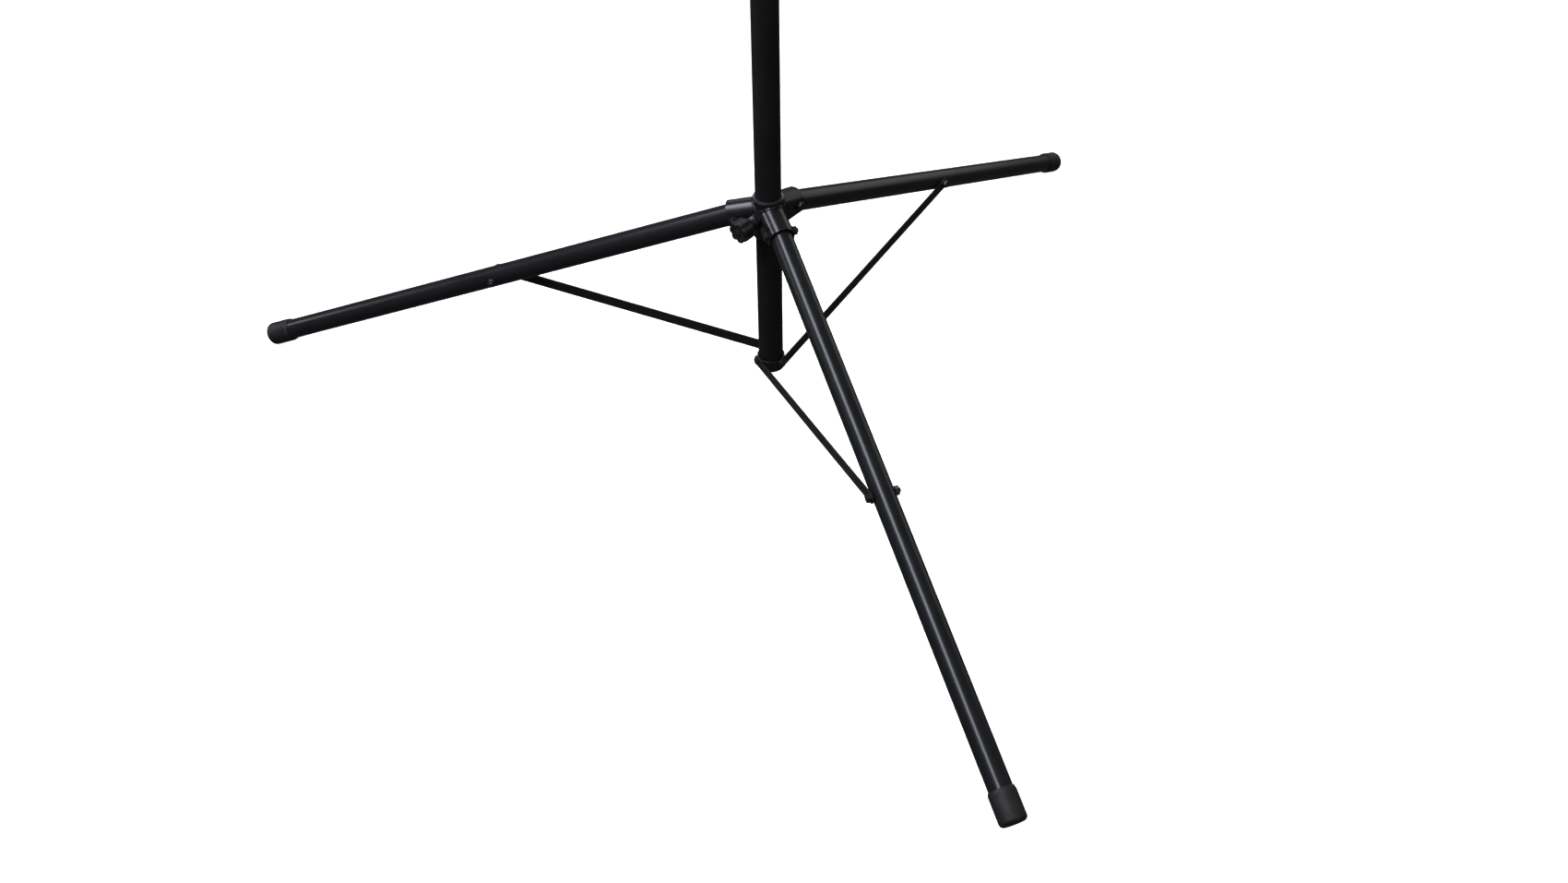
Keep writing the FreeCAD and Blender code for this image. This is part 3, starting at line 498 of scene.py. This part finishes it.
def levels_of(node):
    """The lowest and the highest level of a CAD node, in metres."""
    low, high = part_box(node)
    return low.z, high.z


# ---- lower post ----

HUB_Z = JOINTS["front_leg_fold"]["pos_m"][2]
COLLAR_Z = JOINTS["front_brace_fold"]["pos_m"][2]


def make_post():
    """The post's tube, the brace collar with its rivets, and the plug in the lower end."""
    low, high = levels_of("post_tube")
    length = (high - low) / MM

    def tube(mesh):
        profile = [(0, POST_BORE_R), (0, POST_R), (length, POST_R), (length, POST_BORE_R)]
        lathe(mesh, profile, loop=True, segments=96)

    build("post", tube, "post", "post_paint", ["post_tube"], upright(low), bevel=0.25)

    def collar(mesh):
        corners = [
            (-COLLAR_BELOW, POST_R, 0), (-COLLAR_BELOW, COLLAR_R, 0.5),
            (COLLAR_ABOVE - 1.6, COLLAR_R, 0.3), (COLLAR_ABOVE - 1.1, COLLAR_R + 0.25, 0.25),
            (COLLAR_ABOVE, COLLAR_R + 0.2, 0.6), (COLLAR_ABOVE, POST_R, 0),
        ]
        lathe(mesh, softened(corners), loop=True, segments=96)

    build("collar", collar, "post", "hub_paint", ["brace_collar"], upright(COLLAR_Z))

    def plug(mesh):
        inside = PLUG_FLANGE + PLUG_SPIGOT
        corners = [
            (inside, 0, 0), (inside, POST_BORE_R, 0), (PLUG_FLANGE, POST_BORE_R, 0), (PLUG_FLANGE, POST_R, 0),
            (0.0, POST_R, 0.9), (0.0, 7.5, 0.3), (0.6, 7.0, 0.3), (0.6, 2.2, 0.2), (0.2, 1.8, 0.2),
            (0.2, 0, 0),
        ]
        lathe(mesh, softened(corners), segments=96)

    plug_place = upright(levels_of("post_plug")[0])
    build("post_end_plug", plug, "post", "black_plastic", ["post_plug"], plug_place)

    def rivet(mesh):
        root = POST_BORE_R - 1.0
        seat = COLLAR_R + BRACE_SHEET + 2 * BRACE_GAP
        corners = [
            (root, 0, 0), (root, RIVET_R, 0), (seat, RIVET_R, 0), (seat, RIVET_HEAD_R, 0.25),
            (seat + 0.8, RIVET_HEAD_R - 0.05, 0.5), (seat + 1.7, 2.9, 0.9), (seat + RIVET_HEAD, 0, 0),
        ]
        lathe(mesh, softened(corners), segments=48)

    for arm in ARMS:
        axis_point = Vector((0, 0, COLLAR_Z))
        place = frame_at(axis_point, Vector(JOINTS[f"{arm}_brace_fold"]["pos_m"]) - axis_point)
        build(f"collar_rivet_{arm}", rivet, "post", "fastener", ["brace_rivets"], place)


# ---- hub ----


def socket_profile():
    """The arch's outer line from one skirt over the top to the other.

    Each entry is (y, share of the way up the straight cheek, angle on the arch): a cheek's
    angle and the arch's y are None."""
    cheeks = [index / 6 for index in range(6)]
    arch = [math.pi * index / 28 for index in range(29)]
    line = [(-SOCKET_R, share, None) for share in cheeks]
    line += [(None, 1.0, math.pi - angle) for angle in arch]
    line += [(SOCKET_R, share, None) for share in reversed(cheeks)]
    return line


def socket_point(entry, share, inset, start_r):
    """A point on the socket's sheet, share 0 at the sleeve and 1 at the open end.

    Where a row starts on the sleeve depends on its height, and its height on where it
    starts, so the two are worked out together in a few rounds."""
    y, rise_share, angle = entry
    radius = SOCKET_R - inset
    slope = math.radians(SOCKET_SLOPE)
    if angle is not None:
        y, z_arch = radius * math.cos(angle), SOCKET_RISE + radius * math.sin(angle)
    else:
        y, z_arch = math.copysign(radius, y), None
    near = math.sqrt(max(start_r**2 - y**2, 0.0)) - PIVOT_X
    x = near
    z = SOCKET_RISE
    for _ in range(6):
        bottom = (-SOCKET_SKIRT + x * math.sin(slope)) / math.cos(slope)
        z = z_arch if z_arch is not None else bottom + (SOCKET_RISE - bottom) * rise_share
        start = (near - z * math.sin(slope)) / math.cos(slope)
        x = start + (SOCKET_END - start) * share
    return Vector((x, y, z))


def make_socket(arm, heading):
    """One arm's sheet socket with its weld, and the pivot bolt and nut through it."""
    hub_place = Matrix.Translation((0, 0, HUB_Z)) @ Matrix.Rotation(math.radians(heading), 4, "Z")
    pivot = hub_place @ Matrix.Translation((PIVOT_X * MM, 0, 0))
    place = pivot @ Matrix.Rotation(math.radians(SOCKET_SLOPE), 4, "Y")
    axle = pivot @ Matrix.Rotation(math.radians(90), 4, "Z")
    line = socket_profile()
    shares = [index / 14 for index in range(15)]

    def sheet(mesh):
        outer, inner = (
            [
                [mesh.verts.new(socket_point(entry, share, inset, SLEEVE_R - 0.25)) for entry in line]
                for share in shares
            ]
            for inset in (0.0, SOCKET_SHEET)
        )
        for rows in (outer, inner):
            for lower, upper in zip(rows, rows[1:]):
                strip(mesh, lower, upper)
        for end in (0, -1):
            strip(mesh, outer[end], inner[end])
        for skirt in (0, -1):
            strip(mesh, [row[skirt] for row in outer], [row[skirt] for row in inner])

    build(f"socket_shell_{arm}", sheet, "hub", "hub_paint", [f"socket_{arm}"], place, bevel=0.45)

    def weld(mesh):
        """A small fillet of weld where the sheet meets the sleeve."""
        rings = []
        for number, entry in enumerate(line):
            seat = socket_point(entry, 0.0, 0.0, SLEEVE_R)
            out = (socket_point(entry, 0.06, 0.0, SLEEVE_R) - seat).normalized()
            y, _, angle = entry
            if angle is None:
                normal = Vector((0, math.copysign(1, y), 0))
            else:
                normal = Vector((0, math.cos(angle), math.sin(angle)))
            bead = WELD_BEAD + WELD_RIPPLE * math.sin(number * 1.9)
            length, height = out * (bead * 0.8), normal * (bead * 0.7)
            points = [seat + length * math.cos(a) + height * math.sin(a) for a in turns(8)]
            rings.append([mesh.verts.new(point) for point in points])
        skin(mesh, rings)
        mesh.faces.new(rings[0])
        mesh.faces.new(rings[-1])

    build(f"socket_weld_{arm}", weld, "hub", "hub_paint", (), place)

    def bolt(mesh):
        far = SOCKET_R + HEX_NUT
        lathe(mesh, [(-SOCKET_R, 0), (-SOCKET_R, BOLT_R), (far, BOLT_R), (far, 0)], segments=32)
        thread_end(mesh, far)
        head = bmesh.new()
        hexagon(head, SOCKET_R, HEX_HEAD)
        bmesh.ops.rotate(head, verts=head.verts, matrix=Matrix.Rotation(math.pi, 3, "Z"))
        data = bpy.data.meshes.new("head")
        head.to_mesh(data)
        head.free()
        mesh.from_mesh(data)
        bpy.data.meshes.remove(data)

    build(f"pivot_bolt_{arm}", bolt, "hub", "fastener", ["leg_pivot_bolts"], axle, bevel=0.12, segments=2)

    def nut(mesh):
        hexagon(mesh, SOCKET_R, HEX_NUT, crown=False)

    build(f"pivot_nut_{arm}", nut, "hub", "fastener", ["leg_pivot_nuts"], axle, bevel=0.12, segments=2)


def make_hub():
    """The sliding hub: sleeve, liner, three sockets and the clamp knob on its boss."""
    place = upright(HUB_Z)

    def sleeve(mesh):
        corners = [
            (-SLEEVE_BELOW, SLEEVE_BORE_R, 0), (-SLEEVE_BELOW, SLEEVE_R, 0.5),
            (SLEEVE_ABOVE, SLEEVE_R, 0.6), (SLEEVE_ABOVE, SLEEVE_BORE_R, 0),
        ]
        lathe(mesh, softened(corners), loop=True, segments=96)

    build("hub_tube", sleeve, "hub", "hub_paint", ["hub_sleeve"], place)

    def liner(mesh):
        top, brim = SLEEVE_ABOVE + LINER_FLANGE, SLEEVE_BORE_R + 0.35
        corners = [
            (-SLEEVE_BELOW, LINER_BORE_R, 0), (-SLEEVE_BELOW, SLEEVE_BORE_R, 0.2),
            (SLEEVE_ABOVE, SLEEVE_BORE_R, 0), (SLEEVE_ABOVE, brim, 0.2),
            (top, brim, 0.45), (top, LINER_BORE_R, 0.3),
        ]
        lathe(mesh, softened(corners, closed=True), loop=True, segments=96)

    # The liner wears the lighter grey plastic, a painted highlight for its bright rim.
    build("hub_slide_liner", liner, "hub", "black_plastic", ["hub_liner"], place, finish="liner_painted_highlight")

    for arm, heading in ARMS.items():
        make_socket(arm, heading)

    joint = JOINTS["hub_knob_turn"]
    side = frame_at((0, 0, joint["pos_m"][2]), joint["axis"])
    root, reach = SLEEVE_R - 0.65, SLEEVE_R + BOSS_LENGTH

    def boss(mesh):
        waist = BOSS_R - 0.4
        corners = [
            (root, SCREW_BORE_R, 0), (root, BOSS_R, 0), (reach - 3.0, BOSS_R, 0.3), (reach - 2.4, waist, 0.2),
            (reach, waist, 0.7), (reach, SCREW_BORE_R, 0.3),
        ]
        lathe(mesh, softened(corners, closed=True), loop=True, segments=64)

    build("hub_screw_boss", boss, "hub", "hub_paint", ["hub_boss"], side)

    def grip(mesh):
        knob(mesh, reach + FACE_GAP)

    build("hub_clamp_grip", grip, "hub_clamp_knob", "knob_plastic", ["hub_knob"], side)


# ---- legs and braces ----


def make_leg(arm):
    """A leg's tube and foot, and the bolt and nut that hold its brace."""
    pivot = Vector(JOINTS[f"{arm}_leg_fold"]["pos_m"])
    place = frame_at(pivot, centre_of(f"leg_{arm}") - pivot)
    body = f"{arm}_leg"
    end = LEG_REACH - FOOT_SOLE

    def tube(mesh):
        corners = [
            (-LEG_STUB, LEG_BORE_R, 0), (-LEG_STUB, LEG_R, 0.3), (end, LEG_R, 0), (end, LEG_BORE_R, 0),
        ]
        lathe(mesh, softened(corners), loop=True, segments=80)

    build(f"leg_tube_{arm}", tube, body, "leg_paint", [f"leg_{arm}"], place)

    def foot(mesh):
        rim, groove = end - FOOT_CUP, LEG_REACH - 7.0
        corners = [
            (end, 0, 0), (end, LEG_R, 0), (rim + 1.0, LEG_R, 0),
            (rim, LEG_R + 0.1, 0), (rim, LEG_R + 0.9, 0.5), (rim + 3.2, FOOT_R, 1.2),
            (groove - 0.4, FOOT_R, 0.3), (groove, FOOT_R - 0.25, 0.2), (groove + 0.4, FOOT_R, 0.3),
            (LEG_REACH, FOOT_R, 3.9), (LEG_REACH, 6.4, 0.2), (LEG_REACH - 0.5, 6.0, 0.2),
            (LEG_REACH - 0.5, 0, 0),
        ]
        lathe(mesh, softened(corners, steps=7), segments=80)

    build(f"foot_cap_{arm}", foot, body, "foot_rubber", [f"foot_{arm}"], place)

    across = place @ Matrix.Translation((BRACE_AT * MM, 0, 0)) @ Matrix.Rotation(math.radians(90), 4, "Z")

    def shank(mesh):
        near, far = -LEG_R - FACE_GAP, LEG_R + HEX_NUT
        lathe(mesh, [(near, 0), (near, BOLT_R), (far, BOLT_R), (far, 0)], segments=40)
        thread_end(mesh, far)

    build(f"leg_bolt_{arm}", shank, body, "fastener", [f"brace_bolt_{arm}"], across, bevel=0.12, segments=2)

    def nut(mesh):
        hexagon(mesh, LEG_R, HEX_NUT, crown=False)

    build(f"leg_nut_{arm}", nut, body, "fastener", [f"brace_nut_{arm}"], across, bevel=0.12, segments=2)


def make_brace(arm):
    """A flat bar with round ends, and the bolt head that clamps it to the leg."""
    start = Vector(JOINTS[f"{arm}_brace_fold"]["pos_m"])
    mid = centre_of(f"brace_{arm}")
    run = (mid - start).length * 2 / MM
    place = frame_at(start, mid - start)
    body = f"{arm}_brace"

    def bar(mesh):
        outline = []
        for centre, first in ((run, -90), (0.0, 90)):
            for step in range(17):
                a = math.radians(first + 180 * step / 16)
                outline.append((centre + BRACE_HALF * math.cos(a), BRACE_HALF * math.sin(a)))
        slab(mesh, outline, -BRACE_SHEET / 2, BRACE_SHEET / 2)

    build(f"brace_bar_{arm}", bar, body, "brace_paint", [f"brace_{arm}"], place, bevel=0.3)
    face = place @ Matrix.Translation((run * MM, 0, 0)) @ Matrix.Rotation(math.radians(-90), 4, "Z")

    def cap(mesh):
        hexagon(mesh, BRACE_SHEET / 2, HEX_HEAD)

    build(f"brace_bolt_cap_{arm}", cap, body, "fastener", [f"brace_head_{arm}"], face, bevel=0.12, segments=2)


# ---- upper half ----


def make_height_clamp():
    """The moulded clamp on the post's top: body, screw boss and knob."""

    def clamp(mesh):
        skirt, groove, hole = CLAMP_R - 0.9, CLAMP_R - 0.45, MAST_R + 0.1
        corners = [
            (-CLAMP_LENGTH, POST_R, 0), (-CLAMP_LENGTH, skirt, 0.6), (-CLAMP_LENGTH + 5, skirt, 0.4),
            (-CLAMP_LENGTH + 6, CLAMP_R, 0.6), (-5.5, CLAMP_R, 0.3), (-5.0, groove, 0.2), (-4.0, groove, 0.2),
            (-3.5, CLAMP_R, 0.3), (CLAMP_LID, CLAMP_R, 1.5), (CLAMP_LID, hole, 0.4), (0, hole, 0),
            (0, POST_R, 0),
        ]
        lathe(mesh, softened(corners), loop=True, segments=96)

    place = upright(levels_of("post_tube")[1])
    build("height_clamp_body", clamp, "post", "black_plastic", ["height_clamp"], place)
    joint = JOINTS["height_knob_turn"]
    side = frame_at((0, 0, joint["pos_m"][2]), joint["axis"])
    root, reach = CLAMP_R - 3.0, CLAMP_R + BOSS_LENGTH

    def boss(mesh):
        corners = [
            (root, SCREW_BORE_R, 0), (root, BOSS_R + 1.6, 0), (CLAMP_R + 0.5, BOSS_R + 0.9, 1.5),
            (CLAMP_R + 3.0, BOSS_R, 2.0), (reach, BOSS_R, 0.7), (reach, SCREW_BORE_R, 0.3),
        ]
        lathe(mesh, softened(corners, closed=True), loop=True, segments=64)

    build("height_clamp_boss", boss, "post", "black_plastic", (), side)

    def grip(mesh):
        knob(mesh, reach + FACE_GAP)

    build("height_clamp_grip", grip, "height_clamp_knob", "knob_plastic", ["height_knob"], side)


def make_mast():
    """The inner tube with the tilt head: its sleeve, tab and two washers."""
    low, high = levels_of("mast_tube")
    length = (high - low) / MM

    def tube(mesh):
        profile = [(0, MAST_BORE_R), (0, MAST_R), (length, MAST_R), (length, MAST_BORE_R)]
        lathe(mesh, profile, loop=True, segments=80)

    build("mast", tube, "mast", "mast_paint", ["mast_tube"], upright(low), bevel=0.25)

    def sleeve(mesh):
        groove = HEAD_R - 0.35
        corners = [
            (-HEAD_SLEEVE, MAST_R, 0), (-HEAD_SLEEVE, HEAD_R, 0.6),
            (-HEAD_SLEEVE + 4, HEAD_R, 0.2), (-HEAD_SLEEVE + 4.5, groove, 0.2),
            (-HEAD_SLEEVE + 5.5, groove, 0.2), (-HEAD_SLEEVE + 6, HEAD_R, 0.2),
            (HEAD_ROOF, HEAD_R, 1.6), (HEAD_ROOF, 0, 0),
        ]
        lathe(mesh, [(0.0, 0.0), (0.0, MAST_R), *softened(corners)], segments=80)

    build("tilt_head_sleeve", sleeve, "mast", "black_plastic", ["tilt_head"], upright(high))
    tilt = Vector(JOINTS["desk_tilt"]["pos_m"])
    place = Matrix.Translation(tilt)
    foot = HEAD_ROOF - 1.0 - (tilt.z - high) / MM

    def tab(mesh):
        outline = [(-TAB_R, foot)]
        for step in range(25):
            a = math.pi * step / 24
            outline.append((-TAB_R * math.cos(a), TAB_R * math.sin(a)))
        outline.append((TAB_R, foot))
        slab(mesh, outline, -TAB_HALF, TAB_HALF, "X")

    build("tilt_head_tab", tab, "mast", "black_plastic", (), place, bevel=0.7)

    for name, side in (("tilt_washer_left", -1), ("tilt_washer_right", 1)):
        near, far = side * TAB_HALF, side * (TAB_HALF + WASHER_SHEET)

        def washer(mesh):
            profile = [(near, SCREW_BORE_R), (near, WASHER_R), (far, WASHER_R), (far, SCREW_BORE_R)]
            lathe(mesh, profile, loop=True, segments=64)

        build(name, washer, "mast", "fastener", ["tilt_washers"], place, bevel=0.15, segments=2)


def make_desk():
    """The bolt that the desk tilts on, and its knob; the desk itself is the CAD's."""
    tilt = Vector(JOINTS["desk_tilt"]["pos_m"])
    place = Matrix.Translation(tilt) @ Matrix.Rotation(math.radians(-DESK_LEAN), 4, "X")
    cheek = TAB_HALF + WASHER_SHEET + BRACKET_GAP + BRACKET_SHEET

    def bolt(mesh):
        crown, tip = -cheek - TILT_HEAD, cheek + 8.0
        corners = [
            (crown, 0, 0), (crown, TILT_BOLT_R, 0.1), (crown + 0.2, 6.2, 0.6),
            (-cheek - 0.4, TILT_HEAD_R, 0.4), (-cheek, TILT_HEAD_R, 0), (-cheek, TILT_BOLT_R, 0),
            (tip, TILT_BOLT_R, 0), (tip, 0, 0),
        ]
        lathe(mesh, softened(corners), segments=56)

    build("tilt_pivot_bolt", bolt, "desk", "fastener", ["tilt_bolt"], place)

    def grip(mesh):
        knob(mesh, cheek + FACE_GAP)

    build("tilt_grip", grip, "desk_tilt_knob", "knob_plastic", ["tilt_knob"], place)


def keep_cad_nodes():
    """CAD nodes whose shape is right get their slot's material, joined seams and eased edges."""
    slots = {
        "desk_panel": "desk_paint", "desk_bracket": "bracket_paint", "desk_rivets": "fastener",
        "mast_guide": "black_plastic", "mast_glide": "black_plastic",
        "hub_screw": "fastener", "height_screw": "fastener",
    }
    for node, slot in slots.items():
        piece = frame["nodes"][node]
        piece.data.materials.clear()
        piece.data.materials.append(MATERIALS[slot])
        seams = piece.modifiers.new("seams", "WELD")
        seams.merge_threshold = SEAM_GAP * MM
        edge = piece.modifiers.new("edges", "BEVEL")
        edge.width = CAD_EDGE * MM
        edge.segments = 2
        edge.limit_method = "ANGLE"
        edge.angle_limit = math.radians(CAD_EDGE_ANGLE)
        piece.modifiers.new("normals", "WEIGHTED_NORMAL")


# ---- studio ----


def make_paper():
    """White paper that glows enough to read as pure white."""
    made = Nodes("floor_paper")
    tone = made.ramp(made.noise(3.0, 2.0), [(0.2, (0.86, 0.86, 0.86)), (0.8, (0.88, 0.88, 0.88))])
    made.feed("Base Color", tone)
    made.feed("Emission Color", tone)
    made.fixed(Roughness=0.9, Specular_IOR_Level=0.0, Emission_Strength=PAPER_GLOW)
    return made.material


def make_backdrop():
    """A round floor, and a wall that curves up from its edge.

    Neither shows in reflections nor lights the stand, so that black paint stays black."""
    paper = make_paper()
    floor_level = levels_of("foot_front")[0]
    bends = [math.pi / 32 * index for index in range(17)]
    cove = [(FLOOR_R + COVE_R * math.sin(a), COVE_R - COVE_R * math.cos(a)) for a in bends]
    profiles = {
        "floor": [(0.0, 0.0), (FLOOR_R, 0.0)],
        "backdrop": cove + [(FLOOR_R + COVE_R, WALL_TOP)],
    }
    for name, profile in profiles.items():
        mesh = bmesh.new()
        lathe(mesh, [(height, radius) for radius, height in profile], segments=64)
        bmesh.ops.recalc_face_normals(mesh, faces=mesh.faces)
        data = bpy.data.meshes.new(name)
        mesh.to_mesh(data)
        mesh.free()
        data.shade_smooth()
        data.materials.append(paper)
        stage = bpy.data.objects.new(name, data)
        stage.matrix_world = upright(floor_level)
        stage.visible_glossy = False
        stage.visible_diffuse = False
        stage.visible_shadow = name == "floor"
        bpy.context.scene.collection.objects.link(stage)


def make_world():
    """Dim surroundings, darker below the horizon than above it."""
    world = bpy.data.worlds.new("studio")
    world.use_nodes = True
    nodes, links = world.node_tree.nodes, world.node_tree.links
    background = nodes["Background"]
    background.inputs["Color"].default_value = (1.0, 1.0, 1.0, 1.0)
    around = nodes.new("ShaderNodeTexCoord")
    height = nodes.new("ShaderNodeSeparateXYZ")
    level = nodes.new("ShaderNodeMapRange")
    for key, number in {"From Min": -0.15, "From Max": 0.25, "To Min": 0.055, "To Max": 0.09}.items():
        level.inputs[key].default_value = number
    links.new(around.outputs["Generated"], height.inputs[0])
    links.new(height.outputs["Z"], level.inputs["Value"])
    links.new(level.outputs["Result"], background.inputs["Strength"])
    bpy.context.scene.world = world


def make_lights():
    """Soft boxes: name, spot, aim, width and height in metres, power in watts, colour."""
    lights = (
        ("key", (-1.02, -0.22, 1.90), (0.0, -0.28, 0.1), 2.3, 0.60, 50.0, (0.86, 0.89, 1.0)),
        ("left_back", (-3.95, 2.67, 1.68), (0.0, -0.03, 0.22), 1.0, 0.8, 28.0, (0.94, 0.96, 1.0)),
        ("right_back", (2.4, 0.9, 0.9), (0.1, -0.1, 0.15), 2.4, 1.2, 7.0, (0.97, 0.98, 1.0)),
        ("desk_back_fill", (0.9, 2.7, 2.1), (0.0, 0.0, 1.05), 1.8, 1.2, 32.0, (1.0, 1.0, 1.0)),
        ("desk_front_fill", (0.7, -2.5, 2.5), (0.0, 0.0, 1.1), 1.8, 1.2, 13.0, (1.0, 1.0, 1.0)),
    )
    for name, spot, aim, width, height, power, colour in lights:
        lamp = bpy.data.lights.new(name, "AREA")
        lamp.shape = "RECTANGLE"
        lamp.size, lamp.size_y = width, height
        lamp.energy = power
        lamp.color = colour
        holder = bpy.data.objects.new(name, lamp)
        holder.location = spot
        holder.rotation_mode = "QUATERNION"
        holder.rotation_quaternion = (Vector(aim) - Vector(spot)).to_track_quat("-Z", "Y")
        bpy.context.scene.collection.objects.link(holder)


make_camera()
MATERIALS = make_materials()
make_post()
make_hub()
for arm_name in ARMS:
    make_leg(arm_name)
    make_brace(arm_name)
make_height_clamp()
make_mast()
make_desk()
keep_cad_nodes()
make_backdrop()
make_world()
make_lights()
bpy.context.scene.view_settings.view_transform = "Standard"
